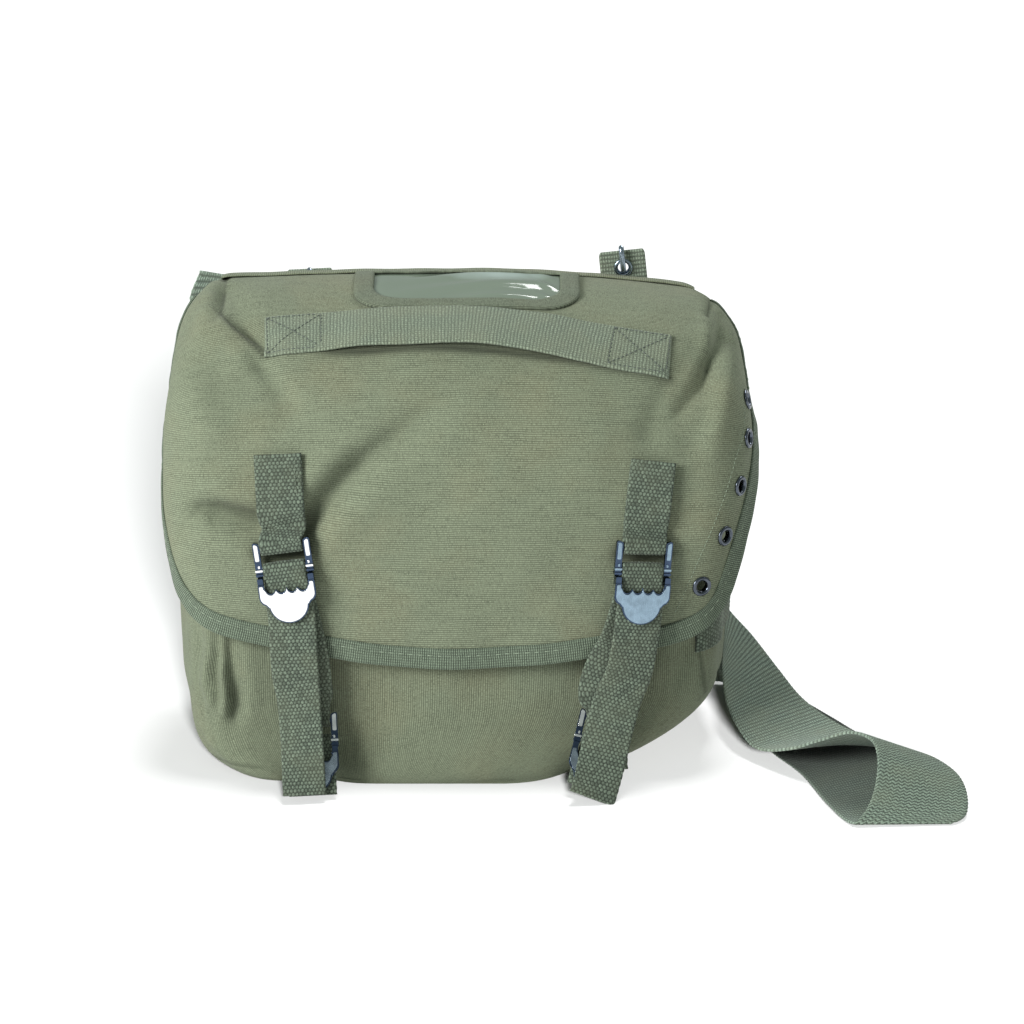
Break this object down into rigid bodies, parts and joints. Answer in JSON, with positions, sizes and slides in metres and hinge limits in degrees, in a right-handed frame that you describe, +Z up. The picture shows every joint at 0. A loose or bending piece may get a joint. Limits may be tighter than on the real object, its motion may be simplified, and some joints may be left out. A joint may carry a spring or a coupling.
{
  "type": "military rucksack",
  "caption": "Small stuffed canvas field pack with a closing flap, two buckled front straps, a carrying handle, a clear name window and one wide shoulder strap.",
  "frame": {"origin": "middle of the flat base, on the floor", "axes": "+X to the right of the pack seen from its front, -Y to the front, +Z up"},
  "size_m": [0.4316, 0.232, 0.2588],
  "materials": {
    "canvas": "matte cotton canvas, olive green",
    "webbing": "coarse basket weave webbing, dark olive green",
    "tape": "ribbed binding tape, olive green",
    "vinyl": "clear soft vinyl",
    "steel": "worn plated steel, blue grey in the shade",
    "dark_metal": "gunmetal eyelets"
  },
  "bodies": {
    "root": {"bag_body": "canvas", "flap": "canvas", "window_surround": "canvas", "window_pane": "vinyl", "flap_binding": "tape", "back_binding": "tape", "handle": "webbing", "strap_stub_left": "webbing", "strap_stub_right": "webbing", "closure_strap_left": "webbing", "closure_strap_right": "webbing", "bottom_strap_left": "webbing", "bottom_strap_right": "webbing", "side_webbing": "webbing", "shoulder_strap": "webbing", "back_tab_left": "webbing", "back_tab_right": "webbing", "upper_buckle_left": "steel", "upper_lever_left": "steel", "upper_buckle_right": "steel", "upper_lever_right": "steel", "lower_buckle_left": "steel", "lower_lever_left": "steel", "lower_buckle_right": "steel", "lower_lever_right": "steel", "eyelet_1": "dark_metal", "eyelet_2": "dark_metal", "eyelet_3": "dark_metal", "eyelet_4": "dark_metal", "eyelet_5": "dark_metal", "tab_grommet_left": "dark_metal", "tab_hook_left": "steel", "tab_grommet_right": "dark_metal", "tab_hook_right": "steel"}
  },
  "joints": []
}
